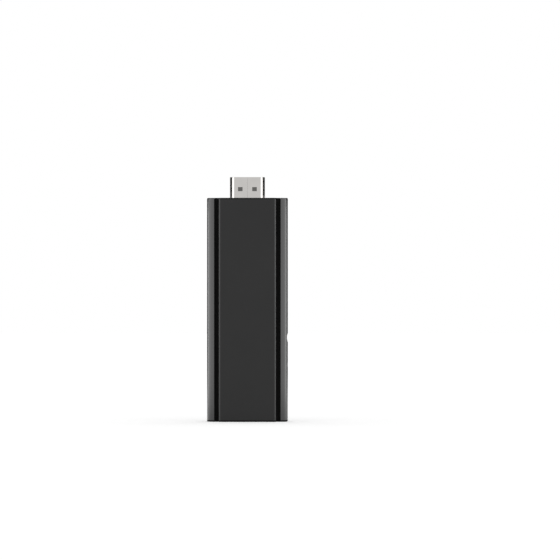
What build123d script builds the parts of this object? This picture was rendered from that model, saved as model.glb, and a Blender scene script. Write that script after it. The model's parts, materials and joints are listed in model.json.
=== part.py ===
from build123d import *
from math import acos, degrees, sqrt
import os

os.makedirs("parts", exist_ok=True)

# Streaming stick, in millimetres. It stands on its tail end: +Z runs up the stick to the plug,
# the front panel faces -Y, and the side button is on +X.

# Housing
body_length = 89.0
body_width = 32.2
body_depth = 12.4
wall = 1.4
side_radius = 5.2
rail_width = 3.0
rail_edge_radius = 0.15
groove_width = 1.75
groove_depth = 1.25
panel_edge_radius = 0.8
rim_chamfer = 0.25
fit_gap = 0.08

# Front cover: its flanges lie on two ledges of the rear shell, and its skirts hook under them
flange_thickness = 1.2
ledge_thickness = 1.0
ledge_overhang = 0.75
skirt_thickness = 1.1
skirt_height = 0.8
hook_reach = 0.35
hook_height = 0.4
hook_length = 5.0
stiffener_height = 1.2
stiffener_thickness = 0.8

# End caps, set back in the rims and held by two snap arms each
end_recess = 0.5
cap_thickness = 1.4
arm_spacing = 17.0
arm_width = 2.4
arm_thickness = 0.9
arm_length = 5.0
barb_height = 0.4
barb_length = 1.3

# Plug: 13.9 by 4.45 shell, folded from sheet, narrow face to the front
plug_width = 13.9
plug_depth = 4.45
plug_narrow = 10.6
plug_bend_width = 12.0
plug_bend_depth = 0.65
plug_side_height = 2.2
plug_corner_radius = 0.55
plug_sheet = 0.3
plug_reach = 8.3
plug_length = 15.0
plug_seam = 0.04
plug_tip_chamfer = 0.12
window_width = 1.8
window_height = 1.6
window_spacing = 5.65
window_from_tip = 4.8
leg_length = 2.6
leg_depth = 1.6
insulator_set_back = 1.0
insulator_gap = 0.04
tongue_slot_width = 11.4
tongue_slot_depth = 1.9
tongue_slot_length = 7.6
contact_pitch = 1.0
contact_width = 0.4
contact_thickness = 0.16
contact_bump = 0.16
contact_tail = 1.8
plug_hole_gap = 0.12

# Main board, on the housing's mid-plane
board_thickness = 1.0
board_gap = 0.3
board_corner = 0.8
board_end_gap = 0.25
board_from_cap = 0.6
solder_gap = 0.02

# Board screws, bosses and rests
screw_radius = 0.8
screw_head_radius = 1.5
screw_head_height = 0.8
screw_length = 4.4
screw_inset = 3.1
screw_from_bottom = 11.5
screw_from_top = 7.0
screw_recess_width = 0.45
screw_head_chamfer = 0.35
screw_tip_chamfer = 0.25
thread_gap = 0.03
board_hole_gap = 0.15
boss_radius = 1.9
rest_thickness = 0.9
rest_reach = 1.7
low_rest_height = 8.0
high_rest_height = 53.0
top_rest_from_top = 10.05
hook_heights = (16.0, 44.5, 66.0)

# Side button, its switch and the status light
button_height = 33.4
button_radius = 1.87
button_hole_gap = 0.08
button_set_back = 0.45
button_chamfer = 0.15
button_travel = 0.35
button_flange_width = 5.4
button_flange_depth = 2.1
button_flange_thickness = 0.6
button_stem_radius = 0.95
pad_face_depth = 1.9
pad_margin = 3.8
pad_depth = 2.9
stop_gap = 0.05
switch_width = 4.6
switch_depth = 3.1
switch_thickness = 1.5
switch_sheet = 0.15
switch_floor = 0.5
switch_wing = 0.9
plunger_width = 1.7
plunger_thickness = 0.8
plunger_gap = 0.06
plunger_head = 0.35
plunger_reach = 0.55
snap_leaf_thickness = 0.08
snap_leaf_length = 3.2
snap_leaf_rise = 0.42
light_height = 22.5
light_radius = 0.9
light_hole_gap = 0.05
light_set_back = 0.1
light_foot_width = 2.4
light_foot_depth = 2.0
led_length = 1.6
led_width = 0.8
led_height = 0.6
led_chamfer = 0.15
light_foot_chamfer = 0.24

# Power inlet, on the board's back face
inlet_width = 7.5
inlet_depth = 2.55
inlet_narrow = 5.6
inlet_corner_radius = 0.4
inlet_sheet = 0.25
inlet_length = 5.6
inlet_set_back = 0.2
inlet_mouth_gap = 0.25
inlet_leg_length = 1.2
inlet_tongue_width = 3.6
inlet_tongue_thickness = 0.6
inlet_tongue_set_back = 0.8
inlet_base_length = 1.8
inlet_contact_pitch = 0.65
inlet_contact_width = 0.3
inlet_contact_thickness = 0.12
inlet_foot_length = 0.6
inlet_contact_count = 5

# Packages on the board, each placed from the edge, switch or package that it sits beside
package_chamfer = 0.12
processor_size = 14.0
processor_cap = 12.6
processor_height = 1.0
memory_width = 7.4
memory_length = 12.0
memory_height = 0.9
memory_spacing = 8.6
memory_from_processor = 1.2
substrate_share = 0.35
flash_width = 11.5
flash_length = 13.0
flash_height = 0.9
flash_from_top = 21.55
controller_size = 6.0
controller_height = 0.85
controller_below_processor = 6.0
controller_side = -4.0
shield_wall = 0.2
shield_from_switch = 0.6
shield_margin = 0.6
shield_height = 1.7
shield_lid_gap = 0.03
shield_lid_skirt = 1.1
shield_flange = 0.7
shield_lid_corner = 0.25
shield_top_chamfer = 0.1
radio_size = 12.0
radio_board_thickness = 0.6
radio_can_height = 1.2
radio_can_margin = 0.5
radio_from_antenna = 0.4
radio_corner = 0.5
radio_top_chamfer = 0.1
inductor_size = 4.0
inductor_height = 1.8
inductor_spacing = 5.6
inductor_place = 21.5
inductor_count = 3
inductor_chamfer = 0.4
inductor_top_chamfer = 0.15
bulk_width = 2.8
bulk_length = 3.5
bulk_height = 1.9
bulk_spacing = 6.2
bulk_place = 11.5
bulk_chamfer = 0.15
crystal_width = 3.2
crystal_length = 2.5
crystal_height = 0.7
crystal_spacing = 6.4
crystal_base_height = 0.45
crystal_lid_inset = 0.2
crystal_chamfer = 0.25
crystal_from_shield = 2.9
chip_length = 1.0
chip_width = 0.5
chip_height = 0.5
chip_from_shield = 0.8
chip_pitch = 2.0
chips_a_side = 6
array_length = 2.5
array_width = 1.0
array_height = 0.5
array_from_top = 3.6
array_pitch = 3.25
array_count = 3
choke_length = 1.25
choke_width = 1.0
choke_height = 0.6
choke_from_top = 5.4
choke_pitch = 2.25
choke_count = 4
antenna_width = 4.2
antenna_length = 11.0
antenna_from_back = 1.5
antenna_sheet = 0.2
antenna_from_edge = 1.95
antenna_place = 1.6
antenna_slot = 0.7
antenna_slot_reach = 2.9
antenna_slots = 3
antenna_leg_width = 2.1

# Heat plates, each pressed against its thermal pad by a housing half
plate_thickness = 0.7
plate_side_gap = 1.2
front_plate_length = 46.0
front_plate_place = 24.0
rear_plate_from_top = 11.05
rear_plate_length = 38.0
pan_depth = 0.6
rear_pan_depth = 1.5
pan_taper = 1.2
pan_margin = 1.0
thermal_pad_size = 12.0
rear_thermal_pad_size = 11.0
plate_corner = 1.0
peg_radius = 0.6
peg_hole_gap = 0.1
peg_inset = 2.0

half_width = body_width / 2
half_depth = body_depth / 2
rail_inner = half_width - rail_width
panel_half = rail_inner - groove_width
side_centre = half_width - side_radius
rail_edge_y = -sqrt(side_radius**2 - (rail_inner - side_centre) ** 2)
groove_floor_y = rail_edge_y + groove_depth
seat_y = groove_floor_y + flange_thickness
ledge_back_y = seat_y + ledge_thickness
ledge_inner = rail_inner - ledge_overhang
hollow_half = panel_half - wall
plate_width = 2 * (hollow_half - plate_side_gap)
panel_inner_y = wall - half_depth
back_inner_y = half_depth - wall
cap_seat = end_recess + cap_thickness
mid_height = Plane.XY.offset(body_length / 2)

plug_tip = body_length + plug_reach
plug_rear = plug_tip - plug_length
board_half = ledge_inner - board_gap
board_bottom = cap_seat + board_from_cap
board_top = plug_rear - board_end_gap
board_face = board_thickness / 2
board_front = Plane.XZ.offset(board_face)
board_back = Plane.XZ.offset(-board_face)
screw_x = board_half - screw_inset
screw_spots = ((-screw_x, board_bottom + screw_from_bottom), (screw_x, board_top - screw_from_top))
from_tail_and_plug = (-1, 1)
pad_face_x = half_width - pad_face_depth
pad_middle = (button_height + light_height) / 2
rest_heights = (low_rest_height, pad_middle, high_rest_height, board_top - top_rest_from_top)
peg_x = plate_width / 2 - peg_inset
front_plate_top = front_plate_place + front_plate_length
rear_plate_top = board_top - rear_plate_from_top
rear_plate_place = rear_plate_top - rear_plate_length
front_peg_heights = (front_plate_place + peg_inset, front_plate_top - peg_inset)
rear_peg_heights = (rear_plate_place + peg_inset, rear_plate_top - peg_inset)
peg_spots = [(x, z) for x in (-peg_x, peg_x) for z in front_peg_heights]
rear_peg_spots = [(x, z) for x in (-peg_x, peg_x) for z in rear_peg_heights]


def housing_outline(inset):
    # the D-shaped section, with rounded sides that end at the rails' inner edges
    radius = side_radius - inset
    rail_angle = degrees(acos((rail_inner - side_centre) / radius))
    with BuildSketch() as outline:
        with BuildLine():
            front_arc = CenterArc((side_centre, 0), radius, -rail_angle, rail_angle)
            back_arc = CenterArc((half_width - half_depth, 0), half_depth - inset, 0, 90)
            Line((0, (front_arc @ 0).Y), front_arc @ 0)
            Line(back_arc @ 1, (0, half_depth - inset))
            mirror(about=Plane.YZ)
        make_face()
    return outline.sketch


def room_behind(inset, front_y):
    # the inside of the housing, from a plane across it to its back wall
    with BuildSketch() as room:
        add(housing_outline(inset))
        with Locations((0, front_y)):
            Rectangle(body_width, body_depth, align=(Align.CENTER, Align.MAX), mode=Mode.SUBTRACT)
    return room.sketch


def plug_outline(growth):
    # wide face to the back, narrow face to the front, and flanks that steepen towards the sides
    half_plug = plug_width / 2
    with BuildSketch() as outline:
        with BuildLine():
            Polyline(
                (0, -plug_depth / 2),
                (plug_narrow / 2, -plug_depth / 2),
                (plug_bend_width / 2, plug_bend_depth - plug_depth / 2),
                (half_plug, plug_depth / 2 - plug_side_height),
                (half_plug, plug_depth / 2),
                (0, plug_depth / 2),
            )
            mirror(about=Plane.YZ)
        make_face()
        corners = outline.vertices().filter_by(lambda corner: abs(corner.X) > fit_gap)
        fillet(corners, plug_corner_radius)
        if growth:
            offset(amount=growth, mode=Mode.REPLACE)
    return outline.sketch


# Rear shell: one moulding with the side rails, the back and all that carries the board
with BuildPart() as rear_shell:
    with BuildSketch():
        add(housing_outline(0))
        with Locations((0, seat_y)):
            Rectangle(2 * rail_inner, body_depth, align=(Align.CENTER, Align.MAX), mode=Mode.SUBTRACT)
        with Locations((0, ledge_back_y)):
            Rectangle(2 * ledge_inner, body_depth, align=(Align.CENTER, Align.MAX), mode=Mode.SUBTRACT)
        add(room_behind(wall, ledge_back_y), mode=Mode.SUBTRACT)
    extrude(amount=body_length)
    rims = rear_shell.faces().filter_by(Axis.Z)
    chamfer(rims.edges().group_by(Axis.Y)[-1], rim_chamfer)
    fillet(rear_shell.edges().filter_by(Axis.Z).group_by(Axis.Y)[0], rail_edge_radius)
    with BuildSketch(Plane.XY, Plane.XY.offset(body_length - cap_seat)):
        add(room_behind(wall, seat_y))
    extrude(amount=cap_seat, mode=Mode.SUBTRACT)

    # board rests: ribs with a step that the board lies in
    with BuildSketch(*[Plane.XY.offset(height - rest_thickness / 2) for height in rest_heights]):
        add(room_behind(wall / 2, ledge_back_y))
        Rectangle(2 * (board_half - rest_reach), body_depth, mode=Mode.SUBTRACT)
        with Locations((0, board_face)):
            Rectangle(
                2 * (board_half + fit_gap), body_depth, align=(Align.CENTER, Align.MAX), mode=Mode.SUBTRACT
            )
    extrude(amount=rest_thickness)

    # screw bosses
    with BuildSketch(board_back):
        with Locations(*screw_spots):
            Circle(boss_radius)
    extrude(amount=-(half_depth - wall / 2 - board_face))
    with BuildSketch(board_back):
        with Locations(*screw_spots):
            Circle(screw_radius)
    extrude(amount=-(screw_length - board_thickness + fit_gap), mode=Mode.SUBTRACT)

    # flat pad inside the right wall, for the button's flange and the light pipe's foot
    with BuildSketch(Plane.XY.offset(light_height - pad_margin)):
        add(room_behind(wall / 2, ledge_back_y))
        with Locations((pad_face_x, 0)):
            Rectangle(body_width, body_depth, align=(Align.MAX, Align.CENTER), mode=Mode.SUBTRACT)
        with Locations((0, ledge_back_y + pad_depth)):
            Rectangle(body_width, body_depth, align=(Align.CENTER, Align.MIN), mode=Mode.SUBTRACT)
    extrude(amount=button_height - light_height + 2 * pad_margin)
    with BuildSketch(Plane.YZ.offset(pad_face_x - button_travel - 2 * stop_gap)):
        with Locations((0, button_height)):
            Circle(button_radius + button_hole_gap)
        with Locations((0, light_height)):
            Circle(light_radius + light_hole_gap)
    extrude(amount=2 * pad_face_depth, mode=Mode.SUBTRACT)

    # pegs that hold the rear heat plate
    with BuildSketch(Plane.XZ.offset(-back_inner_y)):
        with Locations(*rear_peg_spots):
            Circle(peg_radius)
    extrude(amount=plate_thickness + 2 * peg_hole_gap)

    # pockets for the end caps' barbs
    with BuildSketch(Plane.XZ.offset(-back_inner_y)):
        for end in from_tail_and_plug:
            barb_middle = cap_seat + arm_length - barb_length / 2
            barb_height_z = body_length / 2 + end * (body_length / 2 - barb_middle)
            with Locations((-arm_spacing / 2, barb_height_z), (arm_spacing / 2, barb_height_z)):
                Rectangle(arm_width + 2 * fit_gap, barb_length + 2 * fit_gap)
    extrude(amount=-(barb_height + fit_gap), mode=Mode.SUBTRACT)

rear_shell.part.label = "rear_shell"
export_step(rear_shell.part, "parts/rear_shell.step")


# Front cover: the raised panel, the groove floors beside it and the hooked skirts
skirt_outer = ledge_inner - fit_gap
skirt_inner = skirt_outer - skirt_thickness
hook_top_y = ledge_back_y + fit_gap

with BuildPart() as front_cover:
    with BuildSketch() as section:
        with Locations((0, -half_depth)):
            Rectangle(2 * panel_half, seat_y + half_depth, align=(Align.CENTER, Align.MIN))
        fillet(section.vertices().group_by(Axis.Y)[0], panel_edge_radius)
        with Locations((0, groove_floor_y)):
            Rectangle(2 * (rail_inner - fit_gap), flange_thickness, align=(Align.CENTER, Align.MIN))
        with Locations((0, panel_inner_y)):
            Rectangle(2 * hollow_half, body_depth, align=(Align.CENTER, Align.MIN), mode=Mode.SUBTRACT)
    extrude(amount=body_length)
    rims = front_cover.faces().filter_by(Axis.Z)
    chamfer(rims.edges().group_by(Axis.Y)[0], rim_chamfer)

    # skirts and hooks
    with BuildSketch(Plane.XY.offset(cap_seat + fit_gap)):
        with Locations((0, seat_y)):
            Rectangle(2 * skirt_outer, skirt_height, align=(Align.CENTER, Align.MIN))
            Rectangle(2 * skirt_inner, skirt_height, align=(Align.CENTER, Align.MIN), mode=Mode.SUBTRACT)
    extrude(amount=body_length - 2 * (cap_seat + fit_gap))
    with BuildSketch(*[Plane.XY.offset(height - hook_length / 2) for height in hook_heights]):
        with BuildLine():
            Polyline(
                (skirt_inner, seat_y),
                (skirt_inner, hook_top_y + hook_height),
                (skirt_outer, hook_top_y + hook_height),
                (skirt_outer + hook_reach, hook_top_y),
                (skirt_outer, hook_top_y),
                (skirt_outer, seat_y),
                close=True,
            )
            mirror(about=Plane.YZ)
        make_face()
    extrude(amount=hook_length)

    # pegs that hold the heat plate, and stiffening ribs across the hollow
    with BuildSketch(Plane.XZ.offset(-panel_inner_y)):
        with Locations(*peg_spots):
            Circle(peg_radius)
    extrude(amount=-(plate_thickness + 2 * peg_hole_gap))
    rib_heights = (front_plate_place / 2, (front_plate_top + plug_rear) / 2)
    with BuildSketch(*[Plane.XY.offset(height - stiffener_thickness / 2) for height in rib_heights]):
        with Locations((0, panel_inner_y - wall / 2)):
            Rectangle(
                2 * hollow_half + wall, stiffener_height + wall / 2, align=(Align.CENTER, Align.MIN)
            )
    extrude(amount=stiffener_thickness)

front_cover.part.label = "front_cover"
export_step(front_cover.part, "parts/front_cover.step")


# End caps: one blank, with the power mouth cut in one and the plug's opening in the other
with BuildPart() as cap_blank:
    with BuildSketch(Plane.XY.offset(end_recess)):
        add(room_behind(wall + fit_gap, seat_y + fit_gap))
        with Locations((0, panel_inner_y + fit_gap)):
            Rectangle(2 * (hollow_half - fit_gap), -panel_inner_y, align=(Align.CENTER, Align.MIN))
    extrude(amount=cap_thickness)
    arm_back = back_inner_y - fit_gap
    arm_tip = cap_seat + arm_length
    for side in (-1, 1):
        with BuildSketch(Plane.YZ.offset(side * arm_spacing / 2)):
            with BuildLine():
                Polyline(
                    (arm_back - arm_thickness, cap_seat - cap_thickness / 2),
                    (arm_back - arm_thickness, arm_tip),
                    (arm_back, arm_tip),
                    (arm_back + barb_height, arm_tip - barb_length),
                    (arm_back, arm_tip - barb_length),
                    (arm_back, cap_seat - cap_thickness / 2),
                    close=True,
                )
            make_face()
        extrude(amount=arm_width / 2, both=True)

inlet_middle_y = board_face + solder_gap + inlet_depth / 2


def inlet_outline(growth):
    # narrow side towards the board
    half_inlet = inlet_width / 2
    flank = half_inlet - inlet_narrow / 2
    board_side_y = inlet_middle_y - inlet_depth / 2
    with BuildSketch() as outline:
        with BuildLine():
            Polyline(
                (0, board_side_y),
                (inlet_narrow / 2, board_side_y),
                (half_inlet, board_side_y + flank),
                (half_inlet, board_side_y + inlet_depth),
                (0, board_side_y + inlet_depth),
            )
            mirror(about=Plane.YZ)
        make_face()
        corners = outline.vertices().filter_by(lambda corner: abs(corner.X) > fit_gap)
        fillet(corners, inlet_corner_radius)
        if growth:
            offset(amount=growth, mode=Mode.REPLACE)
    return outline.sketch


with BuildPart() as tail_end_cap:
    add(cap_blank.part)
    with BuildSketch(Plane.XY.offset(end_recess)):
        add(inlet_outline(inlet_mouth_gap))
    extrude(amount=cap_thickness, mode=Mode.SUBTRACT)
    mouth_rim = tail_end_cap.faces().sort_by(Axis.Z)[0].inner_wires().edges()
    chamfer(mouth_rim, inlet_mouth_gap)

tail_end_cap.part.label = "tail_end_cap"
export_step(tail_end_cap.part, "parts/tail_end_cap.step")

with BuildPart() as plug_end_cap:
    mirror(cap_blank.part, about=mid_height)
    with BuildSketch(Plane.XY.offset(body_length - end_recess)):
        add(plug_outline(plug_hole_gap))
    extrude(amount=-cap_thickness, mode=Mode.SUBTRACT)

plug_end_cap.part.label = "plug_end_cap"
export_step(plug_end_cap.part, "parts/plug_end_cap.step")


# Plug shell: folded sheet with its seam on the narrow face, latch windows and two solder legs
leg_x = (plug_width - plug_sheet) / 2

with BuildPart() as plug_shell:
    with BuildSketch(Plane.XY.offset(plug_rear)):
        add(plug_outline(0))
    extrude(amount=plug_length)
    chamfer(plug_shell.faces().sort_by(Axis.Z)[-1].edges(), plug_tip_chamfer)
    with BuildSketch(Plane.XY.offset(plug_rear)):
        add(plug_outline(-plug_sheet))
    extrude(amount=plug_length, mode=Mode.SUBTRACT)
    with BuildSketch(Plane.XZ):
        with Locations((0, plug_tip - window_from_tip)):
            with GridLocations(window_spacing, 0, 2, 1):
                Rectangle(window_width, window_height)
    extrude(amount=plug_depth, both=True, mode=Mode.SUBTRACT)
    with BuildSketch(Plane.XZ):
        with Locations((0, plug_rear)):
            Rectangle(plug_seam, plug_length, align=(Align.CENTER, Align.MIN))
    extrude(amount=plug_depth, mode=Mode.SUBTRACT)
    with BuildSketch(Plane.XY.offset(plug_rear + plug_sheet)):
        with GridLocations(2 * leg_x, 0, 2, 1):
            Rectangle(plug_sheet, leg_depth)
    extrude(amount=-(leg_length + board_end_gap + plug_sheet))

plug_shell.part.label = "plug_shell"
export_step(plug_shell.part, "parts/plug_shell.step")

# Plug insulator: fills the shell, with a slot for the socket's tongue and a hole for each contact
insulator_tip = plug_tip - insulator_set_back
slot_bottom = insulator_tip - tongue_slot_length
contact_inner = board_face + solder_gap
contact_middle = contact_inner + contact_thickness / 2
front_count = 9
back_count = 10

with BuildPart() as plug_insulator:
    with BuildSketch(Plane.XY.offset(plug_rear)):
        add(plug_outline(-(plug_sheet + insulator_gap)))
    extrude(amount=plug_length - insulator_set_back)
    with BuildSketch(Plane.XY.offset(slot_bottom)):
        Rectangle(tongue_slot_width, tongue_slot_depth)
        with Locations((0, tongue_slot_depth / 2)):
            Rectangle(tongue_slot_width / 2, 2 * contact_thickness)
    extrude(amount=tongue_slot_length, mode=Mode.SUBTRACT)
    with BuildSketch(Plane.XY.offset(plug_rear)):
        for count, side in ((front_count, -1), (back_count, 1)):
            with Locations((0, side * contact_middle)):
                with GridLocations(contact_pitch, 0, count, 1):
                    Rectangle(contact_width + 2 * insulator_gap, contact_thickness + 2 * insulator_gap)
    extrude(amount=plug_length - insulator_set_back - tongue_slot_length, mode=Mode.SUBTRACT)

plug_insulator.part.label = "plug_insulator"
export_step(plug_insulator.part, "parts/plug_insulator.step")

# Plug contacts: springs bent to a bump near the tip, with their tails on both faces of the board
contact_tip = insulator_tip - contact_pitch / 2
bump_place = contact_tip - contact_pitch
spring_start = slot_bottom + contact_pitch
tail_end = board_top - contact_tail


def contact_row(count, side):
    # side profiles of the springs, one on each contact's own plane
    row_x = [contact_pitch * (number - (count - 1) / 2) for number in range(count)]
    inner_line = [
        (contact_inner, tail_end),
        (contact_inner, spring_start),
        (contact_inner - contact_bump, bump_place),
        (contact_inner, contact_tip),
    ]
    outer_line = [(y + contact_thickness, z) for y, z in reversed(inner_line)]
    with BuildSketch(*[Plane.YZ.offset(x) for x in row_x]) as profiles:
        with BuildLine():
            Polyline(*[(side * y, z) for y, z in inner_line + outer_line], close=True)
        make_face()
    return profiles.sketch


front_contact_profiles = contact_row(front_count, -1)
back_contact_profiles = contact_row(back_count, 1)

with BuildPart() as plug_contacts_front:
    extrude(front_contact_profiles, amount=contact_width / 2, both=True)

plug_contacts_front.part.label = "plug_contacts_front"
export_step(plug_contacts_front.part, "parts/plug_contacts_front.step")

with BuildPart() as plug_contacts_back:
    extrude(back_contact_profiles, amount=contact_width / 2, both=True)

plug_contacts_back.part.label = "plug_contacts_back"
export_step(plug_contacts_back.part, "parts/plug_contacts_back.step")


# Main board, notched for the switch and the plug's legs, slotted for the inlet's legs
inlet_rear = end_recess + inlet_set_back + inlet_length
inlet_leg_x = (inlet_width - inlet_sheet) / 2
inlet_leg_z = (board_bottom + inlet_rear) / 2

with BuildPart() as main_board:
    with BuildSketch(board_back):
        with Locations((0, (board_bottom + board_top) / 2)):
            RectangleRounded(2 * board_half, board_top - board_bottom, board_corner)
        with Locations(*screw_spots):
            Circle(screw_radius + board_hole_gap, mode=Mode.SUBTRACT)
        with Locations((-leg_x, board_top), (leg_x, board_top)):
            Rectangle(
                plug_sheet + 2 * fit_gap, 2 * (leg_length + fit_gap), mode=Mode.SUBTRACT
            )
        with Locations((-inlet_leg_x, inlet_leg_z), (inlet_leg_x, inlet_leg_z)):
            Rectangle(
                inlet_sheet + 2 * fit_gap, inlet_leg_length + 2 * fit_gap, mode=Mode.SUBTRACT
            )
        with Locations((board_half, button_height)):
            Rectangle(
                2 * (switch_depth + fit_gap), switch_width + 2 * fit_gap, mode=Mode.SUBTRACT
            )
    extrude(amount=board_thickness)

main_board.part.label = "main_board"
export_step(main_board.part, "parts/main_board.step")

# Board screws: bevelled heads with a cross recess, shanks in the rear shell's bosses
with BuildPart() as board_screws:
    with BuildSketch(board_front):
        with Locations(*screw_spots):
            Circle(screw_head_radius)
    extrude(amount=screw_head_height)
    chamfer(board_screws.faces().group_by(Axis.Y)[0].edges(), screw_head_chamfer)
    with BuildSketch(board_front.offset(screw_head_height)):
        with Locations(*screw_spots):
            Rectangle(screw_head_radius, screw_recess_width)
            Rectangle(screw_recess_width, screw_head_radius)
    extrude(amount=-screw_head_height / 2, mode=Mode.SUBTRACT)
    with BuildSketch(board_front):
        with Locations(*screw_spots):
            Circle(screw_radius - thread_gap)
    extrude(amount=-screw_length)
    chamfer(board_screws.faces().group_by(Axis.Y)[-1].edges(), screw_tip_chamfer)

board_screws.part.label = "board_screws"
export_step(board_screws.part, "parts/board_screws.step")


# Processor and memory, on the front face under the shield, which starts above the side switch
shield_bottom = button_height + switch_width / 2 + switch_wing + shield_from_switch
processor_z = shield_bottom + shield_margin + processor_size / 2
memory_z = processor_z + (processor_size + memory_length) / 2 + memory_from_processor
processor_step = board_front.offset(processor_height * substrate_share)
memory_spots = ((-memory_spacing / 2, memory_z), (memory_spacing / 2, memory_z))

with BuildPart() as processor:
    with BuildSketch(board_front):
        with Locations((0, processor_z)):
            Rectangle(processor_size, processor_size)
    extrude(amount=processor_height * substrate_share)
    with BuildSketch(processor_step):
        with Locations((0, processor_z)):
            Rectangle(processor_cap, processor_cap)
    extrude(amount=processor_height * (1 - substrate_share))
    chamfer(processor.faces().sort_by(Axis.Y)[0].edges(), package_chamfer)

processor.part.label = "processor"
export_step(processor.part, "parts/processor.step")

with BuildPart() as memory_packages:
    with BuildSketch(board_front):
        with Locations(*memory_spots):
            Rectangle(memory_width, memory_length)
    extrude(amount=memory_height)
    chamfer(memory_packages.faces().group_by(Axis.Y)[0].edges(), package_chamfer)

memory_packages.part.label = "memory_packages"
export_step(memory_packages.part, "parts/memory_packages.step")

# Shield: a soldered frame with a pick-up flange, and a lid that clips over it
shield_half = max(memory_spacing / 2 + memory_width / 2, processor_size / 2) + shield_margin
shield_length = memory_z + memory_length / 2 + shield_margin - shield_bottom
shield_z = shield_bottom + shield_length / 2
frame_height = shield_height - shield_wall - shield_lid_gap
lid_wall = shield_wall + shield_lid_gap

with BuildPart() as shield_frame:
    with BuildSketch(board_front):
        with Locations((0, shield_z)):
            Rectangle(2 * shield_half, shield_length)
    extrude(amount=frame_height)
    with BuildSketch(board_front):
        with Locations((0, shield_z)):
            Rectangle(2 * (shield_half - shield_wall), shield_length - 2 * shield_wall)
    extrude(amount=frame_height - shield_wall, mode=Mode.SUBTRACT)
    with BuildSketch(board_front):
        with Locations((0, shield_z)):
            Rectangle(2 * (shield_half - shield_flange), shield_length - 2 * shield_flange)
    extrude(amount=frame_height, mode=Mode.SUBTRACT)

shield_frame.part.label = "shield_frame"
export_step(shield_frame.part, "parts/shield_frame.step")

with BuildPart() as shield_lid:
    with BuildSketch(board_front.offset(shield_height - shield_lid_skirt)):
        with Locations((0, shield_z)):
            Rectangle(2 * (shield_half + lid_wall), shield_length + 2 * lid_wall)
    extrude(amount=shield_lid_skirt)
    chamfer(shield_lid.edges().filter_by(Axis.Y), shield_lid_corner)
    chamfer(shield_lid.faces().sort_by(Axis.Y)[0].edges(), shield_top_chamfer)
    with BuildSketch(board_front.offset(shield_height - shield_lid_skirt)):
        with Locations((0, shield_z)):
            Rectangle(2 * (shield_half + shield_lid_gap), shield_length + 2 * shield_lid_gap)
    extrude(amount=shield_lid_skirt - shield_wall, mode=Mode.SUBTRACT)

shield_lid.part.label = "shield_lid"
export_step(shield_lid.part, "parts/shield_lid.step")


# Flash package and power controller, on the back face
flash_z = board_top - flash_from_top
controller_z = processor_z - controller_below_processor

with BuildPart() as flash_package:
    with BuildSketch(board_back):
        with Locations((0, flash_z)):
            Rectangle(flash_width, flash_length)
    extrude(amount=-flash_height)
    chamfer(flash_package.faces().sort_by(Axis.Y)[-1].edges(), package_chamfer)

flash_package.part.label = "flash_package"
export_step(flash_package.part, "parts/flash_package.step")

with BuildPart() as power_controller:
    with BuildSketch(board_back):
        with Locations((controller_side, controller_z)):
            Rectangle(controller_size, controller_size)
    extrude(amount=-controller_height)
    chamfer(power_controller.faces().sort_by(Axis.Y)[-1].edges(), package_chamfer)

power_controller.part.label = "power_controller"
export_step(power_controller.part, "parts/power_controller.step")

# Antenna: a slotted plate on two legs, stamped from sheet
antenna_x = board_half - antenna_from_edge - antenna_width / 2
antenna_side = antenna_x - antenna_width / 2
antenna_bottom = board_bottom + antenna_place
antenna_y = back_inner_y - antenna_from_back

with BuildPart() as antenna:
    with BuildSketch(Plane.XZ.offset(-antenna_y)):
        with Locations((antenna_x, antenna_bottom)):
            Rectangle(antenna_width, antenna_length, align=(Align.CENTER, Align.MIN))
        for number in range(1, antenna_slots + 1):
            slot_side = Align.MIN if number % 2 else Align.MAX
            slot_x = antenna_side if number % 2 else antenna_side + antenna_width
            slot_z = antenna_bottom + number * antenna_length / (antenna_slots + 1)
            with Locations((slot_x, slot_z)):
                Rectangle(
                    antenna_slot_reach, antenna_slot, align=(slot_side, Align.CENTER), mode=Mode.SUBTRACT
                )
    extrude(amount=antenna_sheet)
    with BuildSketch(board_back):
        with Locations((antenna_x, antenna_bottom)):
            Rectangle(antenna_leg_width, antenna_sheet, align=(Align.CENTER, Align.MIN))
        with Locations((antenna_x, antenna_bottom + antenna_length)):
            Rectangle(antenna_leg_width, antenna_sheet, align=(Align.CENTER, Align.MAX))
    extrude(amount=-(antenna_y - board_face))

antenna.part.label = "antenna"
export_step(antenna.part, "parts/antenna.step")

# Radio module: a small board of its own under a can
radio_z = antenna_bottom + antenna_length + radio_from_antenna + radio_size / 2
radio_face = Plane.XZ.offset(-(board_face + radio_board_thickness))

with BuildPart() as radio_board:
    with BuildSketch(board_back):
        with Locations((0, radio_z)):
            Rectangle(radio_size, radio_size)
    extrude(amount=-radio_board_thickness)

radio_board.part.label = "radio_board"
export_step(radio_board.part, "parts/radio_board.step")

with BuildPart() as radio_can:
    with BuildSketch(radio_face):
        with Locations((0, radio_z)):
            can_size = radio_size - 2 * radio_can_margin
            Rectangle(can_size, can_size)
    extrude(amount=-radio_can_height)
    chamfer(radio_can.edges().filter_by(Axis.Y), radio_corner)
    chamfer(radio_can.faces().sort_by(Axis.Y)[-1].edges(), radio_top_chamfer)
    with BuildSketch(radio_face):
        with Locations((0, radio_z)):
            Rectangle(can_size - 2 * shield_wall, can_size - 2 * shield_wall)
    extrude(amount=-(radio_can_height - shield_wall), mode=Mode.SUBTRACT)

radio_can.part.label = "radio_can"
export_step(radio_can.part, "parts/radio_can.step")


# Small parts on the front face
with BuildPart() as power_inductors:
    with BuildSketch(board_front):
        with Locations((0, board_bottom + inductor_place)):
            with GridLocations(inductor_spacing, 0, inductor_count, 1):
                Rectangle(inductor_size, inductor_size)
    extrude(amount=inductor_height)
    chamfer(power_inductors.edges().filter_by(Axis.Y), inductor_chamfer)
    chamfer(power_inductors.faces().group_by(Axis.Y)[0].edges(), inductor_top_chamfer)

power_inductors.part.label = "power_inductors"
export_step(power_inductors.part, "parts/power_inductors.step")

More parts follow.
